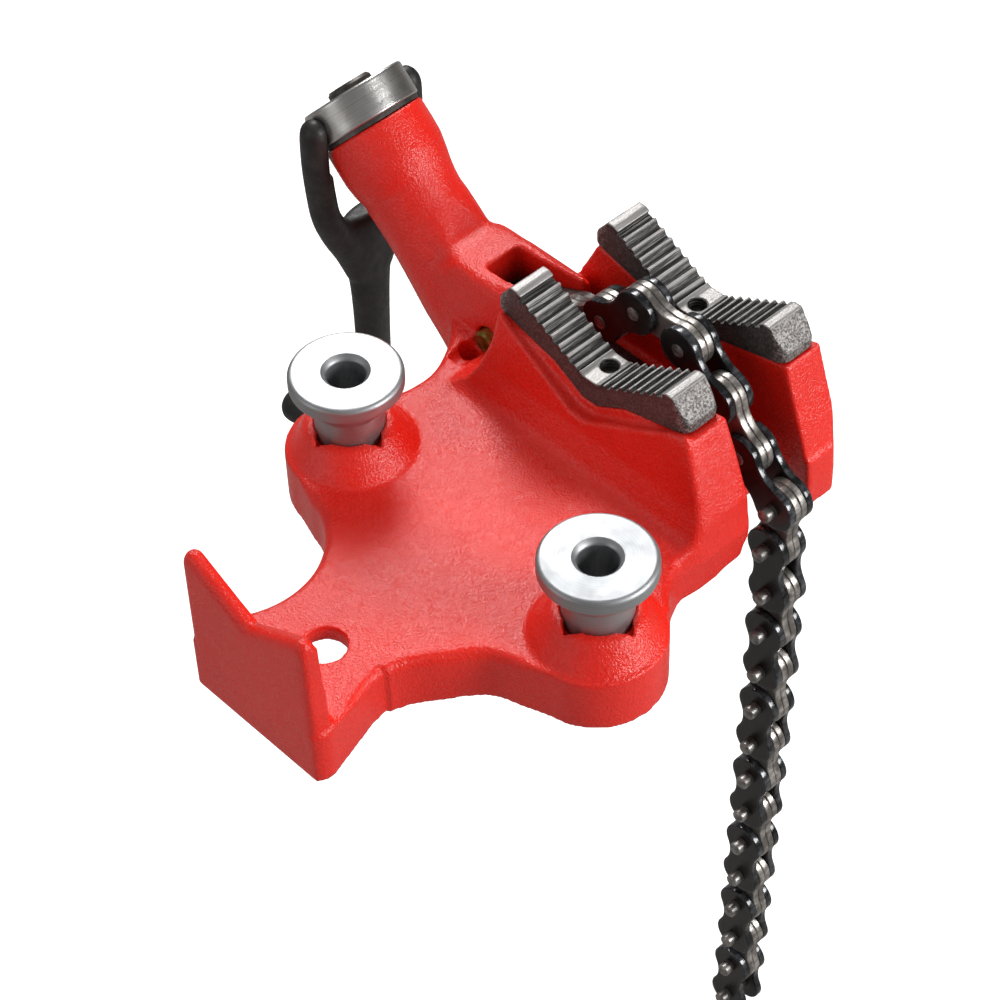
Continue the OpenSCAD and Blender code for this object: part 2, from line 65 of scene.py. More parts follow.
# the tilted screw and its round nut
TILT = math.radians(43.5)
SCREW_DIR = Vector((-math.cos(TILT), 0, math.sin(TILT)))
SEAT = Vector((-127.6, CHAIN_Y, 58.3))
WASHER_T = 1.4
NUT_R, NUT_H = 18.3, 12.0
SCREW_R = 7.9
SCREW_BORE_R = 8.3
CRANK_SLOT_HALF = 7.3

# posts and bolt hole
POST_X = 54.0
POST_TOP = 50.3
FLANGE_R, NECK_R, BORE_R = 18.0, 11.0, 6.15
REST_BOLT = (2.4, -61.0)

# jaws: a V with flat lands at both ends and teeth on its flanks
JAW_HOLE_Y = {"front_jaw": 59.4, "rear_jaw": 98.0}
JAW_HOLE_Z = 45.2
JAW_FLAT_HALF, JAW_V_HALF = 2.6, 31.5
JAW_V_Z, JAW_LAND_Z = 48.4, 64.2
TOOTH_X, TOOTH_PITCH, TOOTH_DEPTH = 2.3, 3.47, 1.6
TEETH_FROM, TEETH_TO = 4.6, 29.6
TEETH_CLEAR_OF_HOLE = 4.2
JAW_LEAN = 0.34
TAP_R, TAP_RIDGE, TAP_PITCH, TAP_TURNS = 3.15, 0.28, 1.25, 2.4

# handle, hung in the nut on two pegs
HANDLE_LEAN = math.radians(1.5)
ARM_Y = 20.4
EYE_GAP = 19.0
PEG_R = 4.1
LEFT_KNOB_TOP, RIGHT_KNOB_TOP = 4.7, 3.6

# scallops in the plate's edge: centre and radius
FRONT_SCALLOP, FRONT_SCALLOP_R = (51.5, -54.5), 30
LEFT_SCALLOP, LEFT_SCALLOP_R = (-84, 37), 25

# bell crank and chain; each link's angle is how it lies at rest
CRANK_PIVOT = (-56.5, 20.5)
CRANK_ARM, CRANK_ANGLE = 27.4, math.radians(29.5)
PITCH = 19.05
PLATE_T = 2.6
PLATE_BEVEL = 0.42
PLATE_CLEARANCE = 0.03
LOBE_R = 7.7
WAIST = 5.4
PIN_R = 2.4
LONG_PIN = 4.3
FIRST_LONG = 7
LINKS = 20
LINK_ANGLES = [38.6, 41.7, -8.2, -41, -53, -40, -94.5, -86, -91.5, -90] + [-91.8] * 10

# how fine the even meshes are
BASE_VOXEL, JAW_VOXEL, HANDLE_VOXEL = 0.7, 0.32, 0.8

# floor and wall, in metres
STAGE_HALF = 4.0
FLOOR_Z = -0.2625


def chain_pins():
    """(x, z) of every pin, from the crank's anchor pin to the chain's end."""
    x = CRANK_PIVOT[0] + CRANK_ARM * math.cos(CRANK_ANGLE)
    z = CRANK_PIVOT[1] + CRANK_ARM * math.sin(CRANK_ANGLE)
    out = [(x, z)]
    for a in LINK_ANGLES:
        x += PITCH * math.cos(math.radians(a))
        z += PITCH * math.sin(math.radians(a))
        out.append((x, z))
    return out


PINS = chain_pins()


# ------------------------------------------------------------------ camera
CAMERA_AZIMUTH, CAMERA_ELEVATION, CAMERA_ROLL = (math.radians(v) for v in (47.64, 46.48, -1.99))
CAMERA_TARGET = Vector((-0.0171, 0.02785, 0.0))
CAMERA_DISTANCE = 0.915
CAMERA_LENS = 105.06


def set_camera():
    az, el, roll = CAMERA_AZIMUTH, CAMERA_ELEVATION, CAMERA_ROLL
    back = Vector((math.sin(az) * math.cos(el), -math.cos(az) * math.cos(el), math.sin(el)))
    right = Vector((math.cos(az), math.sin(az), 0))
    up = back.cross(right)
    x_axis = right * math.cos(roll) + up * math.sin(roll)
    y_axis = up * math.cos(roll) - right * math.sin(roll)
    data = bpy.data.cameras.new("camera")
    data.sensor_width = 36
    data.lens = CAMERA_LENS
    data.clip_end = 20
    cam = bpy.data.objects.new("camera", data)
    SCENE.collection.objects.link(cam)
    place = Matrix.Translation(CAMERA_TARGET + back * CAMERA_DISTANCE)
    cam.matrix_world = place @ Matrix((x_axis, y_axis, back)).transposed().to_4x4()
    SCENE.camera = cam


set_camera()


# ------------------------------------------------------------------ node helpers
class Graph:
    """Short names for the shader nodes that the materials are made of."""

    def __init__(self, mat):
        self.tree = mat.node_tree
        self.tree.nodes.clear()

    def node(self, kind, **values):
        n = self.tree.nodes.new(kind)
        for k, v in values.items():
            setattr(n, k, v)
        return n

    def link(self, a, b):
        self.tree.links.new(a, b)

    def point(self):
        return self.node("ShaderNodeTexCoord").outputs["Object"]

    def stretched(self, scale):
        n = self.node("ShaderNodeMapping")
        n.inputs["Scale"].default_value = scale
        self.link(self.point(), n.inputs["Vector"])
        return n.outputs["Vector"]

    def noise(self, scale, detail=2.0, rough=0.5, vector=None, dims="3D"):
        n = self.node("ShaderNodeTexNoise", noise_dimensions=dims)
        n.inputs["Scale"].default_value = scale
        n.inputs["Detail"].default_value = detail
        n.inputs["Roughness"].default_value = rough
        if dims == "1D":
            self.link(vector, n.inputs["W"])
        else:
            self.link(vector or self.point(), n.inputs["Vector"])
        return n.outputs["Fac"]

    def attribute(self, name):
        return self.node("ShaderNodeAttribute", attribute_name=name).outputs["Fac"]

    def span(self, value, lo, hi, to_lo=0.0, to_hi=1.0):
        """Maps lo..hi of a value to to_lo..to_hi, and holds it there."""
        n = self.node("ShaderNodeMapRange")
        for i, v in zip((1, 2, 3, 4), (lo, hi, to_lo, to_hi)):
            n.inputs[i].default_value = v
        self.link(value, n.inputs[0])
        return n.outputs[0]

    def math(self, op, a, b):
        n = self.node("ShaderNodeMath", operation=op)
        for i, v in enumerate((a, b)):
            if isinstance(v, (int, float)):
                n.inputs[i].default_value = v
            else:
                self.link(v, n.inputs[i])
        return n.outputs[0]

    def colour(self, fac, a, b):
        n = self.node("ShaderNodeMix", data_type="RGBA")
        self.link(fac, n.inputs[0])
        for i, v in ((6, a), (7, b)):
            if isinstance(v, tuple):
                n.inputs[i].default_value = (*v, 1)
            else:
                self.link(v, n.inputs[i])
        return n.outputs[2]

    def bump(self, height, strength, distance, normal=None):
        n = self.node("ShaderNodeBump")
        n.inputs["Strength"].default_value = strength
        n.inputs["Distance"].default_value = distance
        self.link(height, n.inputs["Height"])
        if normal is not None:
            self.link(normal, n.inputs["Normal"])
        return n.outputs["Normal"]

    def finish(self, colour, rough, normal, metal=0.0, specular=0.5):
        b = self.node("ShaderNodeBsdfPrincipled")
        self.link(colour, b.inputs["Base Color"])
        self.link(rough, b.inputs["Roughness"])
        self.link(normal, b.inputs["Normal"])
        b.inputs["Metallic"].default_value = metal
        b.inputs["Specular IOR Level"].default_value = specular
        out = self.node("ShaderNodeOutputMaterial")
        self.link(b.outputs[0], out.inputs[0])


def new_material(name):
    mat = bpy.data.materials.new(name)
    mat.use_nodes = True
    return mat, Graph(mat)


# ------------------------------------------------------------------ materials
def red_enamel():
    """Gloss paint over cast iron: a fine grain, soft unevenness, and painted shade deep in the trough."""
    mat, g = new_material("red_enamel")
    deep_red, red = (0.68, 0.009, 0.0045), (0.77, 0.014, 0.0065)
    light_red = (0.88, 0.03, 0.012)
    # painted shade: a near-black red that stands for the shadow deep in the trough
    painted_shade = (0.035, 0.003, 0.002)
    patches = g.span(g.noise(28, 3), 0.35, 0.65)
    grain = g.noise(1250, 2.5, 0.6)
    tone = g.colour(patches, deep_red, red)
    tone = g.colour(g.span(grain, 0.35, 0.75, 0.0, 0.5), tone, light_red)
    # painted shade: darkens the paint low in the trough, where its shadow falls
    tone = g.colour(g.attribute("trough_shade"), tone, painted_shade)
    rough = g.span(g.noise(60, 2), 0.3, 0.7, 0.24, 0.3)
    coarse = g.bump(g.noise(190, 2), 0.3, 0.0006)
    normal = g.bump(grain, 0.7, 0.0006, coarse)
    g.finish(tone, rough, normal, specular=0.55)
    return mat


def jaw_steel():
    """Milled teeth with bright crests and dark grooves, and rough cast end faces."""
    mat, g = new_material("jaw_steel")
    crest = g.attribute("crest")
    groove = g.attribute("groove")
    speck = g.noise(1300, 3, 0.65)
    cast_tone = g.colour(g.span(speck, 0.4, 0.68), (0.05, 0.047, 0.045), (0.38, 0.355, 0.34))
    body = g.colour(g.attribute("cast"), (0.06, 0.055, 0.052), cast_tone)
    milled = g.noise(1.0, 4, 0.75, g.stretched((2400, 60, 2400)))
    cut = g.colour(g.span(milled, 0.5, 0.68), (0.026, 0.024, 0.023), (0.3, 0.29, 0.28))
    bright = g.colour(g.span(milled, 0.3, 0.7), (0.22, 0.21, 0.205), (0.43, 0.415, 0.405))
    tone = g.colour(crest, g.colour(groove, body, cut), bright)
    rough = g.span(crest, 0.0, 1.0, 0.5, 0.42)
    cast = g.bump(speck, 0.45, 0.0003)
    normal = g.bump(milled, 0.2, 0.0001, cast)
    g.finish(tone, rough, normal, metal=0.45, specular=0.5)
    return mat


def dark_steel():
    mat, g = new_material("dark_steel")
    tone = g.colour(g.span(g.noise(240, 4, 0.65), 0.35, 0.7), (0.05, 0.045, 0.042), (0.15, 0.135, 0.125))
    rough = g.span(g.noise(500, 2), 0.3, 0.7, 0.38, 0.52)
    g.finish(tone, rough, g.bump(g.noise(1100, 3), 0.3, 0.0002), metal=0.7)
    return mat


def turned(name, dark, light, lines, rough_lo, rough_hi, depth):
    """Metal off a lathe: fine rings that follow the profile."""
    mat, g = new_material(name)
    ring = g.attribute("ring")
    fine = g.noise(lines, 4, 0.75, ring, "1D")
    cloud = g.noise(55, 3)
    fac = g.span(g.math("ADD", g.math("MULTIPLY", fine, 0.7), g.math("MULTIPLY", cloud, 0.3)), 0.34, 0.66)
    rough = g.span(g.noise(130, 3), 0.3, 0.7, rough_lo, rough_hi)
    g.finish(g.colour(fac, dark, light), rough, g.bump(fine, depth, 0.00012), metal=1.0)
    return mat


def black_forging():
    mat, g = new_material("black_forging")
    scale = g.span(g.noise(150, 4, 0.6), 0.35, 0.7)
    tone = g.colour(scale, (0.012, 0.0112, 0.011), (0.03, 0.0275, 0.0265))
    rough = g.span(g.noise(420, 2), 0.3, 0.7, 0.42, 0.58)
    coarse = g.bump(g.noise(170, 3), 0.3, 0.0005)
    g.finish(tone, rough, g.bump(g.noise(1000, 3, 0.6), 0.4, 0.00022, coarse), metal=0.1, specular=0.45)
    return mat


def plate_metal(name, face_dark, face_light, rim_dark, rim_light, metal, rough_face, rough_rim):
    """Stamped link plate: a dull face and a rim polished in streaks."""
    mat, g = new_material(name)
    rim = g.attribute("rim")
    face = g.colour(g.span(g.noise(210, 4, 0.65), 0.35, 0.68), face_dark, face_light)
    smear = g.span(g.noise(260, 3, 0.6), 0.42, 0.66)
    streak = g.noise(1.0, 3, 0.6, g.stretched((900, 130, 900)))
    edge = g.colour(g.math("MULTIPLY", smear, g.span(streak, 0.25, 0.6)), rim_dark, rim_light)
    tone = g.colour(rim, face, edge)
    rough = g.span(rim, 0.0, 1.0, rough_face, rough_rim)
    g.finish(tone, rough, g.bump(g.noise(1300, 3), 0.22, 0.00015), metal=metal, specular=0.5)
    return mat


def pin_steel():
    mat, g = new_material("pin_steel")
    tone = g.colour(g.span(g.noise(420, 3), 0.35, 0.65), (0.13, 0.122, 0.115), (0.34, 0.325, 0.31))
    rough = g.span(g.noise(300, 2), 0.3, 0.7, 0.34, 0.46)
    g.finish(tone, rough, g.bump(g.noise(1500, 2), 0.15, 0.0001), metal=0.75)
    return mat


def yellow_zinc():
    mat, g = new_material("yellow_zinc")
    tone = g.colour(g.span(g.noise(330, 3), 0.35, 0.7), (0.19, 0.13, 0.02), (0.46, 0.36, 0.10))
    rough = g.span(g.noise(300, 2), 0.3, 0.7, 0.28, 0.42)
    g.finish(tone, rough, g.bump(g.noise(1200, 2), 0.2, 0.0001), metal=0.85)
    return mat


MATERIALS = {
    "red_enamel": red_enamel(),
    "jaw_steel": jaw_steel(),
    "dark_steel": dark_steel(),
    "zinc": turned("zinc", (0.36, 0.37, 0.38), (0.48, 0.49, 0.5), 2.5, 0.46, 0.58, 0.08),
    "turned_steel": turned("turned_steel", (0.42, 0.41, 0.395), (0.86, 0.85, 0.83), 3.2, 0.26, 0.38, 0.3),
    "black_forging": black_forging(),
    "nickel_plate": plate_metal("nickel_plate", (0.13, 0.122, 0.115), (0.26, 0.245, 0.23),
                                (0.16, 0.148, 0.136), (0.6, 0.565, 0.53), 0.7, 0.4, 0.32),
    "black_plate": plate_metal("black_plate", (0.004, 0.0037, 0.0035), (0.012, 0.011, 0.0105),
                               (0.008, 0.0085, 0.0095), (0.085, 0.09, 0.1), 0.2, 0.34, 0.13),
    "pin_steel": pin_steel(),
    "yellow_zinc": yellow_zinc(),
}


def dress(obj, slot_name, body):
    """Gives a piece its material, its slot and the body it rides on."""
    obj.data.materials.clear()
    obj.data.materials.append(MATERIALS[slot_name])
    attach(obj, body)


# ------------------------------------------------------------------ mesh helpers
def new_object(name, mesh):
    obj = bpy.data.objects.new(name, mesh)
    SCENE.collection.objects.link(obj)
    return obj


def smooth_shade(mesh):
    mesh.polygons.foreach_set("use_smooth", np.ones(len(mesh.polygons), bool))


def mark(mesh, tag, values):
    """Stores one number per vertex for a material to read."""
    layer = mesh.attributes.new(tag, "FLOAT", "POINT")
    layer.data.foreach_set("value", np.asarray(values, np.float32))


def mesh_object(name, verts, faces, attribute=None, values=None, smooth=True):
    mesh = bpy.data.meshes.new(name)
    mesh.from_pydata([tuple(v) for v in verts], [], faces)
    mesh.validate()
    mesh.update()
    if smooth:
        smooth_shade(mesh)
    if attribute:
        mark(mesh, attribute, values)
    return new_object(name, mesh)


def weighted_normals(obj):
    mod = obj.modifiers.new("normals", "WEIGHTED_NORMAL")
    mod.keep_sharp = True
    mod.weight = 60


def lathe(name, profile, matrix, segments=128, closed=True):
    """A ring of quads turned from (radius, height) points in millimetres."""
    n = len(profile)
    lengths = [0.0]
    for a, b in zip(profile, profile[1:]):
        lengths.append(lengths[-1] + math.dist(a, b))
    verts, rings = [], []
    for k in range(segments):
        t = 2 * math.pi * k / segments
        for (r, h), length in zip(profile, lengths):
            verts.append(matrix @ Vector((r * math.cos(t) * MM, r * math.sin(t) * MM, h * MM)))
            rings.append(length)
    faces = []
    for k in range(segments):
        m = (k + 1) % segments
        for i in range(n if closed else n - 1):
            j = (i + 1) % n
            faces.append((k * n + i, m * n + i, m * n + j, k * n + j))
    return mesh_object(name, verts, faces, "ring", rings)


def arc(cx, cy, r, a0, a1, n=6):
    """n + 1 points on a circle, from angle a0 to a1 in degrees."""
    out = []
    for i in range(n + 1):
        t = math.radians(a0 + (a1 - a0) * i / n)
        out.append((cx + r * math.cos(t), cy + r * math.sin(t)))
    return out


def applied(obj):
    """Turns an object's modifiers into its mesh."""
    graph = bpy.context.evaluated_depsgraph_get()
    mesh = bpy.data.meshes.new_from_object(obj.evaluated_get(graph))
    obj.modifiers.clear()
    obj.data = mesh
    return obj


def cut_box(name, matrix, size, bevel=0.0):
    bm = bmesh.new()
    bmesh.ops.create_cube(bm, size=1.0)
    bmesh.ops.scale(bm, vec=Vector(size) * MM, verts=bm.verts)
    if bevel:
        bmesh.ops.bevel(bm, geom=bm.edges[:], offset=bevel * MM, segments=3, affect="EDGES")
    mesh = bpy.data.meshes.new(name)
    bm.to_mesh(mesh)
    bm.free()
    mesh.transform(matrix)
    return new_object(name, mesh)


def subtract(obj, cutters):
    for cutter in cutters:
        mod = obj.modifiers.new("cut", "BOOLEAN")
        mod.operation = "DIFFERENCE"
        mod.solver = "EXACT"
        mod.object = cutter


def remeshed(node, name, voxel, cutters=(), extra=()):
    """A copy of a node, cut and joined with extra solids, as one even mesh of small quads."""
    bm = bmesh.new()
    if node:
        bm.from_mesh(NODES[node].data)
    bmesh.ops.remove_doubles(bm, verts=bm.verts[:], dist=2e-6)
    mesh = bpy.data.meshes.new(name)
    bm.to_mesh(mesh)
    bm.free()
    obj = new_object(name, mesh)
    subtract(obj, cutters)
    if extra:
        applied(obj)
        bm = bmesh.new()
        bm.from_mesh(obj.data)
        for solid in extra:
            bm.from_mesh(solid.data)
            bpy.data.objects.remove(solid)
        bm.to_mesh(obj.data)
        bm.free()
    mod = obj.modifiers.new("even", "REMESH")
    mod.mode = "VOXEL"
    mod.voxel_size = voxel * MM
    applied(obj)
    for cutter in cutters:
        bpy.data.objects.remove(cutter)
    return obj


def coords(mesh):
    """Vertex places in millimetres."""
    co = np.zeros(len(mesh.vertices) * 3, np.float64)
    mesh.vertices.foreach_get("co", co)
    return co.reshape(-1, 3) / MM


def store(mesh, co):
    """Writes vertices back, held inside the whole part's box."""
    lo, hi = (np.array(v) / MM for v in cad_box)
    co = np.clip(co, lo, hi)
    mesh.vertices.foreach_set("co", (co * MM).astype(np.float32).ravel())
    mesh.update()
    smooth_shade(mesh)


class Relax:
    """Evens out a mesh; each vertex moves towards its neighbours by its own weight."""

    def __init__(self, mesh):
        edges = np.zeros(len(mesh.edges) * 2, np.int32)
        mesh.edges.foreach_get("vertices", edges)
        self.edges = edges.reshape(-1, 2)
        self.count = len(mesh.vertices)
        self.degree = np.maximum(np.bincount(edges, minlength=self.count), 1)[:, None]

    def run(self, co, weight, rounds):
        a, b = self.edges[:, 0], self.edges[:, 1]
        half = 0.5 * np.asarray(weight, float).reshape(-1, 1)
        for _ in range(rounds):
            total = np.empty_like(co)
            for k in range(3):
                total[:, k] = np.bincount(a, co[b, k], self.count) + np.bincount(b, co[a, k], self.count)
            co = co + half * (total / self.degree - co)
        return co


def ramp(x, lo, hi):
    """0 below lo, 1 above hi, and a smooth step between them."""
    t = np.clip((x - lo) / (hi - lo), 0, 1)
    return t * t * (3 - 2 * t)


def segment_distance(co, a, b):
    """Distance of each point from the line from a to b."""
    a, b = np.array(a, float), np.array(b, float)
    d = b - a
    t = np.clip(((co - a) @ d) / (d @ d), 0, 1)
    return np.linalg.norm(co - a - t[:, None] * d, axis=1)


# ------------------------------------------------------------------ base casting
def on_screw(s):
    """A point on the screw's axis, s above the housing's end."""
    return SEAT + SCREW_DIR * s


def up_screw(s):
    """Frame with Z up the screw's axis, whose origin is s above the housing's end."""
    y = Vector((0, 1, 0))
    x = y.cross(SCREW_DIR)
    turn = Matrix((x, y, SCREW_DIR)).transposed().to_4x4()
    return Matrix.Translation(on_screw(s) * MM) @ turn


def moved(x, y, z):
    return Matrix.Translation(Vector((x, y, z)) * MM)


def hull_object(name, points):
    bm = bmesh.new()
    for p in points:
        bm.verts.new(Vector(p) * MM)
    made = bmesh.ops.convex_hull(bm, input=bm.verts[:])
    loose = set(made["geom_interior"]) | set(made["geom_unused"])
    bmesh.ops.delete(bm, geom=[v for v in loose if isinstance(v, bmesh.types.BMVert)], context="VERTS")
    bmesh.ops.recalc_face_normals(bm, faces=bm.faces)
    mesh = bpy.data.meshes.new(name)
    bm.to_mesh(mesh)
    bm.free()
    return new_object(name, mesh)


def screw_ring(s, r, count=32):
    """Points on a circle round the screw's axis."""
    across = Vector((SCREW_DIR.z, 0, -SCREW_DIR.x))
    c = on_screw(s)
    turn = [2 * math.pi * k / count for k in range(count)]
    return [c + across * (r * math.cos(t)) + Vector((0, r * math.sin(t), 0)) for t in turn]


def fairings():
    """Webs that carry the round housing into the flat roof and walls over the bell crank."""
    crease = [(-83.5, CHAIN_Y + w, 38.5) for w in (-9.5, 8.5)]
    roof_section = ((-18.3, 3), (-18, 12), (-14, 36), (-12.6, 38.2), (-10.2, 39.2),
                    (9, 39.2), (12, 37.8), (14, 34), (18, 12), (18.3, 3))
    roof = [(-69, CHAIN_Y + w, z) for w, z in roof_section]
    high, low = screw_ring(-31, 15.9), screw_ring(-47, 15.8)
    webs = [hull_object("web", high + low + crease), hull_object("web", low + crease + roof)]
    slot = 2 * (CRANK_SLOT_HALF + 0.1)
    bore = [(0, -60), (SCREW_BORE_R, -60), (SCREW_BORE_R, 20), (0, 20)]
    hollows = [cut_box("cut", moved(-45.5, CHAIN_Y, 35), (43, slot, 90)),
               cut_box("cut", moved(-58, CHAIN_Y, 9), (68, slot, 30)),
               cut_box("cut", up_screw(-69), (18, slot, 42)),
               lathe("cut", bore, up_screw(-20), 48, closed=False)]
    for web in webs:
        subtract(web, hollows)
        applied(web)
    for hollow in hollows:
        bpy.data.objects.remove(hollow)
    return webs


def base_cutters():
    """The ledge round the crank's slot and the pit beside the crank's pin."""
    tilt = Matrix.Rotation(math.radians(-4), 4, "Y")
    ledge = cut_box("ledge", moved(-58.5, CHAIN_Y, 43.2) @ tilt, (22, 19.5, 6.2), 1.5)
    pit = lathe("pit", [(0, 10), (2.9, 10), (3.3, 24), (0, 24)], moved(-58.2, 56.4, 0), 32, closed=False)
    return [ledge, pit]


def soften_casting(mesh, co):
    """Rounds all edges a little but the bores', and some edges of the pedestals and housing more."""
    relax = Relax(mesh)
    x, y = REST_BOLT
    weight = 0.3 + 0.7 * ramp(np.hypot(co[:, 0] - x, co[:, 1] - y), 8.5, 11)
    for side in (-1, 1):
        bore = np.hypot(co[:, 0] - side * POST_X, co[:, 1])
        weight *= 0.15 + 0.85 * ramp(bore, 13.4, 16)
    co = relax.run(co, weight, 4)
    # (from, to, fully soft within, untouched beyond, rounds)
    edges = (((41.5, 47.2, 56.5), (51.5, 45.2, 29), 4, 8, 22),
             ((51.5, 45.2, 29), (53, 41, 17), 4, 8, 22),
             ((52, 66, 0), (52.5, 60, 2), 3, 9, 40),
             ((-94, CHAIN_Y - 11, 40), (-70, CHAIN_Y - 12, 38), 2.5, 7, 40),
             ((-94, CHAIN_Y + 11, 40), (-70, CHAIN_Y + 11, 38), 2.5, 7, 40),
             ((-96, CHAIN_Y, 50), (-82, CHAIN_Y, 38), 6, 14, 16))
    for start, end, near, far, rounds in edges:
        co = relax.run(co, 1 - ramp(segment_distance(co, start, end), near, far), rounds)
    return co


def flare_pedestals(co):
    """Spreads the pedestals' outer walls towards the foot, as the casting's draft does."""
    x, y, z = co[:, 0].copy(), co[:, 1], co[:, 2]
    rear = np.interp(z, [0, 10, 19, 30, 42, 60], [4, 4, 3.4, 2.5, 1.5, 0.7]) * ramp(y, 88, 91)
    front = np.interp(z, [0, 14, 27, 42, 60], [1.2, 1.8, 1.5, 0.5, 0])
    front *= ramp(y, 34, 46) * (1 - ramp(y, 68, 72))
    rear_left = np.interp(z, [20, 30, 38, 44, 52, 60], [3, 6, 6, 4.5, 1.5, 0]) * ramp(y, 89, 92)
    co[:, 0] += (rear + front) * ramp(x, 38, 47) - rear_left * ramp(-x, 33, 39)


def shift_bosses(co):
    """Moves each boss's outside a little, round its bore, which stays."""
    for side, axis, shift in ((-1, 0, 1.1), (1, 1, -0.9)):
        away = np.hypot(co[:, 0] - side * POST_X, co[:, 1])
        co[:, axis] += shift * ramp(away, 14, 19) * (1 - ramp(away, 24, 34)) * (co[:, 2] < 30)


def fill_scallop(co, centre, radius, angle, spread, amount):
    """Draws a scallop's edge in towards the scallop's centre, most at one angle."""
    d = co[:, :2] - np.array(centre)
    away = np.linalg.norm(d, axis=1)
    turn = np.degrees(np.arctan2(d[:, 1], d[:, 0]))
    move = amount * np.exp(-((turn - angle) / spread) ** 2) * (1 - ramp(away, radius + 6, radius + 26))
    co[:, :2] -= d / np.maximum(away, 1)[:, None] * move[:, None]


def shift_housing(co):
    """Moves the outside of the housing's middle towards the jaws; its bore stays."""
    beside = (co[:, 0] - SEAT.x) * SCREW_DIR.z - (co[:, 2] - SEAT.z) * SCREW_DIR.x
    outside = np.hypot(co[:, 1] - CHAIN_Y, beside) > 12
    run = ramp(co[:, 0], -122, -104) * (1 - ramp(co[:, 0], -84, -70)) * (np.abs(co[:, 1] - CHAIN_Y) < 22)
    co[:, 0] += 1.2 * run * outside


def painted_trough_shade(co):
    """How much painted shade darkens the paint: most low in the trough and round the crank, none outside.
    """
    low = ramp(co[:, 2], 3, 6) * (1 - ramp(co[:, 2], 22, 37))
    along = ramp(co[:, 0], -80, -75) * (1 - ramp(co[:, 0], 22, 44))
    return low * along * (1 - ramp(np.abs(co[:, 1] - CHAIN_Y), 11, 11.6))


def base_skin():
    obj = remeshed("base_casting", "base_skin", BASE_VOXEL, base_cutters(), fairings())
    mesh = obj.data
    co = soften_casting(mesh, coords(mesh))
    flare_pedestals(co)
    shift_bosses(co)
    fill_scallop(co, FRONT_SCALLOP, FRONT_SCALLOP_R, angle=145, spread=30, amount=4.2)
    fill_scallop(co, LEFT_SCALLOP, LEFT_SCALLOP_R, angle=30, spread=28, amount=1.8)
    shift_housing(co)
    # painted shade of the trough, stored on the mesh for the paint to read
    mark(mesh, "trough_shade", painted_trough_shade(co))
    store(mesh, co)
    dress(obj, "red_enamel", "base")
    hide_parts("base_casting")


# ------------------------------------------------------------------ jaws
def jaw_top(x):
    """Height of the V's flanks over the distance from the middle."""
    rise = (JAW_LAND_Z - JAW_V_Z) / (JAW_V_HALF - JAW_FLAT_HALF)
    return JAW_V_Z + np.clip(x - JAW_FLAT_HALF, 0, JAW_V_HALF - JAW_FLAT_HALF) * rise


def jaw_skin(node, name):
    obj = remeshed(node, name, JAW_VOXEL)
    mesh = obj.data
    co = coords(mesh)
    relax = Relax(mesh)

    # teeth, cut down from the flanks but clear of the hole and the lands
    out = np.abs(co[:, 0])
    top = jaw_top(out)
    t = np.mod((out - TOOTH_X) / TOOTH_PITCH, 1.0)
    cut = np.interp(t, [0, 0.14, 0.5, 0.8, 1.0], [0, 0, 1, 0.95, 0]) * TOOTH_DEPTH
    hole = np.hypot(co[:, 0], co[:, 1] - JAW_HOLE_Y[node])
    toothed = (out > TEETH_FROM) & (out < TEETH_TO) & (hole > TEETH_CLEAR_OF_HOLE) & (co[:, 2] > top - 2.3)
    co[toothed, 2] = np.minimum(top - cut, co[:, 2] + 1.5)[toothed]
    co = relax.run(co, np.where(toothed, 0.35, 0.7), 2)

    out = np.abs(co[:, 0])
    depth = jaw_top(out) - co[:, 2]
    mark(mesh, "crest", 1 - ramp(depth, 0.16, 0.5))
    mark(mesh, "groove", (1 - ramp(depth, 2.0, 2.3)) * (out < 31.5))
    mark(mesh, "cast", 0.25 + 0.75 * ramp(out, 33, 35.5))

    # the ends lean out towards the seat
    lean = JAW_LEAN * np.clip(depth, 0, 9) * ramp(out, 30, 36)
    co[:, 0] += np.sign(co[:, 0]) * lean
    co[:, 2] += 0.3 * lean * ramp(depth, 3, 9)
    store(mesh, co)
    dress(obj, "jaw_steel", "base")
    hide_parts(node)


def jaw_tap(name, y):
    """The fine helical ridge that a tap leaves in a jaw's hole."""
    up = Vector((0, 0, 1))
    x = up.orthogonal().normalized()
    across = up.cross(x)
    foot = Vector((0, y, JAW_HOLE_Z))
    steps, ring = int(40 * TAP_TURNS), 6
    verts, faces = [], []
    for i in range(steps + 1):
        t = i / steps * TAP_TURNS
        a = 2 * math.pi * t
        out = x * math.cos(a) + across * math.sin(a)
        centre = foot + out * TAP_R + up * (TAP_PITCH * t)
        fade = min(1.0, 6 * min(t, TAP_TURNS - t) + 0.15)
        for k in range(ring):
            b = 2 * math.pi * k / ring
            ridge = (out * math.cos(b) + up * math.sin(b)) * TAP_RIDGE
            verts.append((centre + ridge * fade) * MM)
    for i in range(steps):
        for k in range(ring):
            m = (k + 1) % ring
            faces.append((i * ring + k, i * ring + m, (i + 1) * ring + m, (i + 1) * ring + k))
    faces.append(tuple(range(ring))[::-1])
    faces.append(tuple(steps * ring + k for k in range(ring)))
    dress(mesh_object(name, verts, faces), "dark_steel", "base")


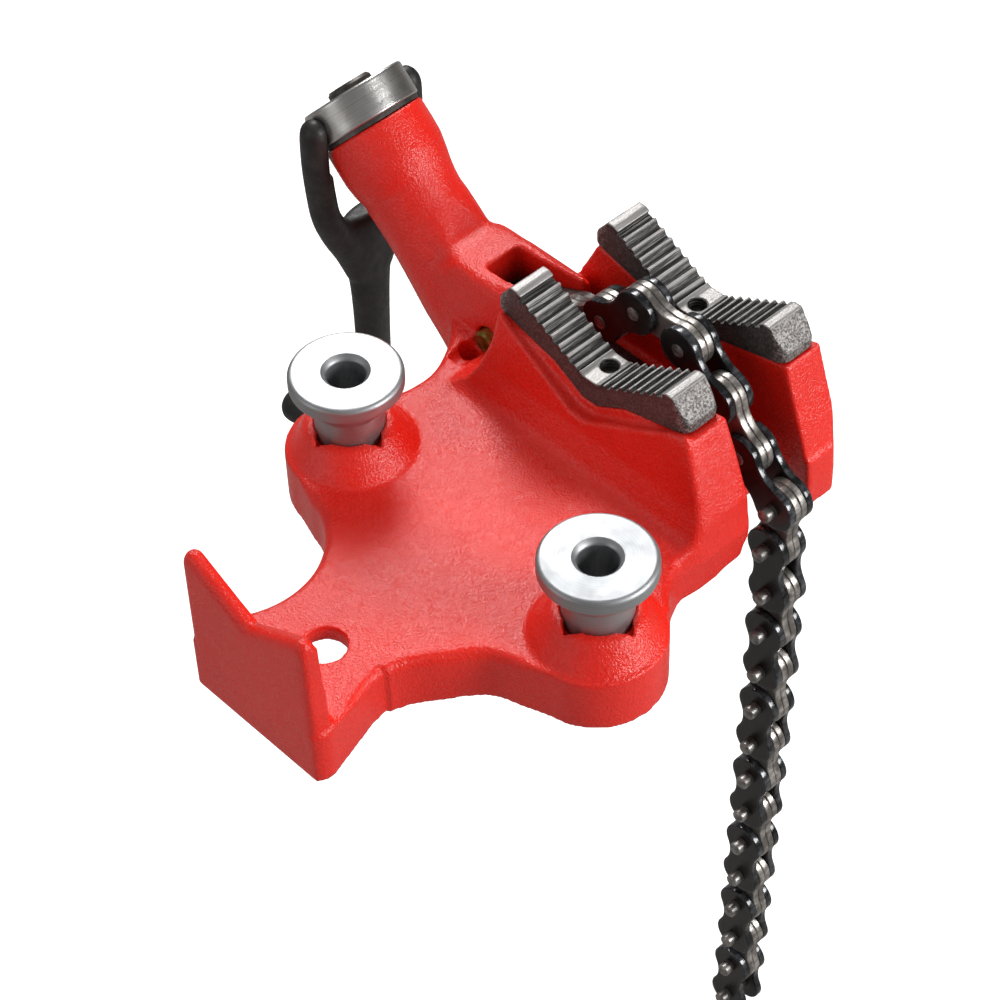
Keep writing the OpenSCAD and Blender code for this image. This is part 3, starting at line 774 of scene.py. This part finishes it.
# ------------------------------------------------------------------ posts and nut
def post(side, name, node):
    f, n, b, top = FLANGE_R, NECK_R, BORE_R, POST_TOP
    neck = [(b, 0.02), (n - 0.02, 0.02), (n - 0.02, 36.5), (n + 0.1, 37.1)]
    cone = arc(n + 1.9, 37.2, 1.4, 180, 138, 4) + [(f - 4.6, 41.6), (f - 4.2, 42.2), (f - 4.0, 42.8)]
    under = [(f - 3.81, 43.95), (f - 3.0, 43.7), (f - 1.9, 44.3)]
    rim = arc(f - 1.8, 46.0, 1.78, -55, 0, 6) + arc(f - 1.62, top - 1.62, 1.6, 0, 90, 8)
    mouth = [(b + 1.7, top - 0.02), (b + 1.45, top - 0.12), (b + 0.75, top - 0.95), (b + 0.5, top - 1.1),
             (b + 0.12, top - 1.7), (b, top - 2.2)]
    obj = lathe(name, neck + cone + under + rim + mouth, moved(side * POST_X, 0, 0))
    weighted_normals(obj)
    dress(obj, "zinc", "base")
    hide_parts(node)


def nut_ring():
    r, h, q = NUT_R - 0.02, NUT_H, SCREW_R
    foot = [(q + 0.1, 0.02), (r - 0.7, 0.02), (r - 0.1, 0.35), (r, 0.8)]
    line = [(r, 3.2), (r - 0.07, 3.35), (r, 3.5), (r, h - 1.3)]
    edge = arc(r - 1.1, h - 1.1, 1.1, 10, 90, 6)
    face = [(q + 5.2, h - 0.02), (q + 5.0, h - 0.16), (q + 4.8, h - 0.02)]
    mouth = [(q + 1.3, h - 0.02), (q + 0.9, h - 0.3), (q + 0.1, h - 1.0)]
    nut = lathe("nut_ring", foot + line + edge + face + mouth, up_screw(WASHER_T), 144)
    weighted_normals(nut)
    dress(nut, "turned_steel", "nut")
    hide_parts("handle_nut")


# ------------------------------------------------------------------ handle
def loft(name, path, matrix, across):
    """A tube through (place, half-width along `across`, half-width sideways) stations."""
    across = Vector(across)
    count = 28
    places = [Vector(p) for p, _, _ in path]
    verts, faces = [], []
    for i, (_, ra, rb) in enumerate(path):
        along = (places[min(i + 1, len(path) - 1)] - places[max(i - 1, 0)]).normalized()
        side = along.cross(across).normalized()
        for k in range(count):
            t = 2 * math.pi * k / count
            out = across * (ra * math.cos(t)) + side * (rb * math.sin(t))
            verts.append(matrix @ ((places[i] + out) * MM))
    for i in range(len(path) - 1):
        for k in range(count):
            m = (k + 1) % count
            faces.append((i * count + k, i * count + m, (i + 1) * count + m, (i + 1) * count + k))
    faces.append(tuple(range(count))[::-1])
    faces.append(tuple((len(path) - 1) * count + k for k in range(count)))
    return mesh_object(name, verts, faces)


def curve(points, steps=5):
    """Catmull-Rom points through the stations, each a (place, width, width) group."""
    flat = [np.array([*p, a, b], float) for p, a, b in points]
    flat = [2 * flat[0] - flat[1]] + flat + [2 * flat[-1] - flat[-2]]
    out = []
    for a, b, c, d in zip(flat, flat[1:], flat[2:], flat[3:]):
        for k in range(steps):
            t = k / steps
            out.append(0.5 * (2 * b + (c - a) * t + (2 * a - 5 * b + 4 * c - d) * t * t
                              + (3 * b - 3 * c + d - a) * t ** 3))
    out.append(flat[-2])
    return [(tuple(p[:3]), max(p[3], 0.3), max(p[4], 0.3)) for p in out]


def handle_arm(side, top, place):
    """One arm of the fork, from its knob down to the shank, and the disc round its peg."""
    y = ARM_Y * side
    knob = [((0, y, top), 1.4, 1.4), ((0, y, top - 1.1), 3.4, 3.0), ((0, y, top - 3.2), 4.7, 4.2),
            ((0, y, -2.5), 5.4, 4.6)]
    arm = [((0, 20.2 * side, -14), 5.6, 4.7), ((0, 19.2 * side, -27), 5.5, 4.8),
           ((0, 17.6 * side, -38), 5.4, 5.0), ((0, 13.6 * side, -48), 5.4, 5.6),
           ((0, 8 * side, -58), 5.2, 6.4), ((0, 3 * side, -70), 5.2, 6.6)]
    peg = moved(0, side * 16, 0) @ Matrix.Rotation(-side * math.pi / 2, 4, "X")
    disc = [(0, 2.5), (PEG_R, 2.5), (PEG_R, 6), (0, 6)]
    return [loft("arm", curve(knob + arm), place, (1, 0, 0)),
            lathe("peg", disc, place @ peg, 32, closed=False)]


def handle_skin():
    pivot = on_screw(WASHER_T + NUT_H / 2)
    place = Matrix.Translation(pivot * MM) @ Matrix.Rotation(HANDLE_LEAN, 4, "Y")
    shank = [((0, 0, -44.5), 3.4, 8.5), ((0, 0, -47), 4.9, 11), ((0, 0, -53), 5.3, 12),
             ((0, 0, -61), 5.3, 10.6), ((0, 0, -72), 5.3, 8.8), ((0, 0, -90), 5.4, 7.3),
             ((0, 0, -125), 5.1, 6.7), ((0, 0, -156), 5, 6.3), ((0, 0, -162), 4.6, 5.6),
             ((0, 0, -165), 3.2, 3.8)]
    hook = [((3.6, 0, -159.5), 3.4, 3.2), ((0, 0, -160), 6, 5.2), ((-14, 0, -163.5), 6.8, 5.6),
            ((-30, 0, -167.6), 8, 6.1), ((-42, 0, -170.6), 9.2, 6.5), ((-47, 0, -171.8), 7.4, 5.4),
            ((-50.4, 0, -172.6), 3, 2.2)]
    parts = handle_arm(-1, LEFT_KNOB_TOP, place) + handle_arm(1, RIGHT_KNOB_TOP, place)
    parts += [loft("shank", curve(shank), place, (1, 0, 0)), loft("hook", curve(hook), place, (0, 1, 0))]
    obj = remeshed(None, "handle_skin", HANDLE_VOXEL, extra=parts)
    mesh = obj.data
    co = coords(mesh)
    co = Relax(mesh).run(co, np.ones(len(co)), 9)

    # keep the arms clear of the nut; the pegs reach into it
    local = np.array(place.inverted().to_3x3()) @ (co - np.array(pivot)).T
    from_axis = np.hypot(local[0], local[2])
    push = np.maximum(EYE_GAP - np.abs(local[1]), 0) * (np.abs(local[1]) > 9)
    push *= 1 - ramp(from_axis, 15.5, 20)
    local[1] += np.sign(local[1]) * np.where(from_axis < 4.4, 0, push)
    store(mesh, (np.array(place.to_3x3()) @ local).T + np.array(pivot))
    dress(obj, "black_forging", "handle")
    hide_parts("handle")


# ------------------------------------------------------------------ chain
def plate_outline(steps=14):
    """A link plate's waisted outline, clockwise from the back of its first lobe."""
    blend = ((PITCH / 2) ** 2 + WAIST ** 2 - LOBE_R ** 2) / (2 * (LOBE_R - WAIST))
    touch = math.degrees(math.atan2(WAIST + blend, PITCH / 2))
    upper = arc(0, 0, LOBE_R, 180, touch, steps)
    mid = arc(PITCH / 2, WAIST + blend, blend, 180 + touch, 360 - touch, steps)[1:-1]
    far = [(PITCH - x, y) for x, y in reversed(upper)]
    top = upper + mid + far
    bottom = [(x, -y) for x, y in reversed(top[1:-1])]
    return top + bottom


def plate_rings():
    """The outline at six heights of a plate, drawn in towards both faces for its bevels."""
    outline = plate_outline()
    part_way = 0.3 * PLATE_BEVEL
    rings = []
    for inset, h in ((PLATE_BEVEL, 0.0), (part_way, part_way), (0.0, PLATE_BEVEL),
                     (0.0, PLATE_T - PLATE_BEVEL), (part_way, PLATE_T - part_way), (PLATE_BEVEL, PLATE_T)):
        ring = []
        for i, (x, y) in enumerate(outline):
            ax, ay = outline[i - 1]
            bx, by = outline[(i + 1) % len(outline)]
            length = math.hypot(bx - ax, by - ay)
            ring.append((x + (by - ay) / length * inset, y - (bx - ax) / length * inset, h))
        rings.append(ring)
    return rings


RINGS = plate_rings()


def link_matrix(i):
    """Frame of link i: origin at its first pin, X along the link, Z across the chain."""
    a = math.radians(LINK_ANGLES[i - 1])
    x, z = PINS[i - 1]
    return (Matrix.Translation(Vector((x, CHAIN_Y, z)) * MM) @ Matrix.Rotation(-a, 4, "Y")
            @ Matrix.Rotation(math.pi / 2, 4, "X"))


def link_plates(i):
    """An inner link's two plates lie together in the middle; an outer link's lie outside them."""
    if i % 2:
        low = PLATE_CLEARANCE
    else:
        low = PLATE_T + 4 * PLATE_CLEARANCE
    lows = (low, -PLATE_T - low)
    verts, faces, rim = [], [], []
    link_frame = link_matrix(i)
    n, last = len(RINGS[0]), len(RINGS) - 1
    for low in lows:
        start = len(verts)
        for k, ring in enumerate(RINGS):
            for x, y, h in ring:
                verts.append(link_frame @ (Vector((x, y, low + h)) * MM))
                rim.append(1.0 if 0 < k < last else 0.35)
        for k in range(last):
            for j in range(n):
                m = (j + 1) % n
                a = start + k * n
                faces.append((a + j, a + m, a + n + m, a + n + j))
        for k, turn in ((0, -1), (last, 1)):
            # a face is a band round a smaller flat outline
            outer = [start + k * n + j for j in range(n)]
            inner = []
            for x, y, h in RINGS[k]:
                cx = min(max(x, 0.0), PITCH)
                inner.append(len(verts))
                verts.append(link_frame @ (Vector((cx + (x - cx) * 0.8, y * 0.8, low + h)) * MM))
                rim.append(0.0)
            for j in range(n):
                m = (j + 1) % n
                faces.append((outer[j], outer[m], inner[m], inner[j])[::turn])
            faces.append(tuple(inner)[::turn])
    obj = mesh_object(f"link_plates_{i}", verts, faces, "rim", rim)
    bm = bmesh.new()
    bm.from_mesh(obj.data)
    bmesh.ops.recalc_face_normals(bm, faces=bm.faces)
    bm.to_mesh(obj.data)
    bm.free()
    weighted_normals(obj)
    dress(obj, "nickel_plate" if i % 2 else "black_plate", f"link_{i}")
    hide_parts(f"chain_link_{i}")


def pin_profile(long):
    """(radius, height) points of a pin: a riveted end, or one that stands out and is rounded."""
    half = 2 * PLATE_T + 0.1
    back = -half - 0.5
    front = half + (LONG_PIN if long else 0.5)
    r = PIN_R - 0.01
    foot = [(0.6, back), (r - 0.5, back), (r - 0.12, back + 0.12), (r, back + 0.4)]
    if long:
        return foot + [(r, front - 1.0), (r - 0.12, front - 0.45), (r - 0.5, front - 0.12),
                       (r - 1.1, front - 0.01), (0.8, front)]
    return foot + [(r, front - 0.3), (r - 0.2, front - 0.08), (r - 0.55, front), (r - 0.75, front - 0.14),
                   (r - 1.0, front - 0.16), (r - 1.2, front - 0.03), (0.5, front)]


def link_pins(i):
    verts, faces = [], []
    link_frame = link_matrix(i)
    segments = 32
    for k in (0, 1):
        profile = pin_profile(i + k >= FIRST_LONG)
        start, n = len(verts), len(profile)
        for t in range(segments):
            a = 2 * math.pi * t / segments
            for r, h in profile:
                verts.append(link_frame @ (Vector((k * PITCH + r * math.cos(a), r * math.sin(a), h)) * MM))
        for t in range(segments):
            here, beside = start + t * n, start + (t + 1) % segments * n
            for j in range(n - 1):
                faces.append((here + j, beside + j, beside + j + 1, here + j + 1))
        faces.append(tuple(start + t * n for t in range(segments))[::-1])
        faces.append(tuple(start + t * n + n - 1 for t in range(segments)))
    obj = mesh_object(f"pins_{i}", verts, faces)
    weighted_normals(obj)
    dress(obj, "pin_steel", f"link_{i}")
    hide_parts(f"link_pins_{i}")


# ------------------------------------------------------------------ CAD nodes that stay
def keep_nodes():
    """Gives every CAD node its slot's material; those that a piece replaces stay hidden."""
    slots = {s["node"]: s["material_slot"] for s in frame["record"]["subparts"]}
    for name, obj in NODES.items():
        obj.data.materials.clear()
        obj.data.materials.append(MATERIALS[slots[name]])


# ------------------------------------------------------------------ stage and light
def stage():
    """A pale floor and wall; the camera sees them near white, and the object's shadow stays."""
    mat, g = new_material("stage_white")
    seen = g.node("ShaderNodeLightPath").outputs["Is Camera Ray"]
    soft = g.node("ShaderNodeBsdfDiffuse")
    g.link(g.colour(seen, (0.3, 0.29, 0.28), (0.92, 0.92, 0.92)), soft.inputs["Color"])
    glow = g.node("ShaderNodeEmission")
    g.link(g.math("MULTIPLY", seen, 0.36), glow.inputs["Strength"])
    both = g.node("ShaderNodeAddShader")
    g.link(soft.outputs[0], both.inputs[0])
    g.link(glow.outputs[0], both.inputs[1])
    out = g.node("ShaderNodeOutputMaterial")
    g.link(both.outputs[0], out.inputs[0])
    s, low, high = STAGE_HALF, FLOOR_Z, FLOOR_Z + STAGE_HALF
    floor_corners = [(-s, -s, low), (s, -s, low), (s, s, low), (-s, s, low)]
    wall_corners = [(-s, s, low), (s, s, low), (s, s, high), (-s, s, high)]
    floor = mesh_object("floor", floor_corners, [(0, 1, 2, 3)], smooth=False)
    floor.data.materials.append(mat)
    wall = mesh_object("backdrop", wall_corners, [(0, 3, 2, 1)], smooth=False)
    wall.data.materials.append(mat)


def set_world():
    """White to the camera, soft grey as light, and darker still in reflections."""
    world = bpy.data.worlds.new("studio")
    SCENE.world = world
    world.use_nodes = True
    g = Graph(world)
    path = g.node("ShaderNodeLightPath")
    ambient = g.node("ShaderNodeBackground")
    ambient.inputs["Color"].default_value = (1.0, 0.985, 0.97, 1)
    g.link(g.span(path.outputs["Is Glossy Ray"], 0, 1, 0.5, 0.2), ambient.inputs["Strength"])
    white = g.node("ShaderNodeBackground")
    white.inputs["Color"].default_value = (1, 1, 1, 1)
    white.inputs["Strength"].default_value = 1.0
    mix = g.node("ShaderNodeMixShader")
    seen = g.math("MAXIMUM", path.outputs["Is Camera Ray"], path.outputs["Is Transmission Ray"])
    g.link(seen, mix.inputs[0])
    g.link(ambient.outputs[0], mix.inputs[1])
    g.link(white.outputs[0], mix.inputs[2])
    out = g.node("ShaderNodeOutputWorld")
    g.link(mix.outputs[0], out.inputs[0])


def lamp(name, at, target, size, watts):
    """A soft disc light, in metres, aimed at a point."""
    data = bpy.data.lights.new(name, "AREA")
    data.shape = "DISK"
    data.size = size
    data.energy = watts
    obj = bpy.data.objects.new(name, data)
    SCENE.collection.objects.link(obj)
    obj.location = at
    obj.rotation_euler = (Vector(target) - Vector(at)).to_track_quat("-Z", "Y").to_euler()


def lights():
    middle = (0, 0, 0)
    lamp("key", (1.04, 0.5, 0.45), (0, 0.02, 0), 0.5, 12.5)
    lamp("panel", (-0.83, 0.63, 1.08), middle, 0.8, 7.0)
    lamp("sheen", (-0.8, 0.68, 0.98), middle, 0.4, 7.0)
    lamp("fill", (-0.35, -1.1, 0.4), middle, 0.7, 2.0)


# ------------------------------------------------------------------ build
keep_nodes()
base_skin()
jaw_skin("front_jaw", "front_jaw_skin")
jaw_skin("rear_jaw", "rear_jaw_skin")
post(-1, "left_post_turned", "left_post")
post(1, "right_post_turned", "right_post")
nut_ring()
handle_skin()
for i in range(1, LINKS + 1):
    link_plates(i)
for i in range(2, LINKS + 1, 2):
    link_pins(i)
for jaw, y in JAW_HOLE_Y.items():
    jaw_tap(f"{jaw}_tap", y)
stage()
set_world()
lights()
SCENE.view_settings.view_transform = "Standard"
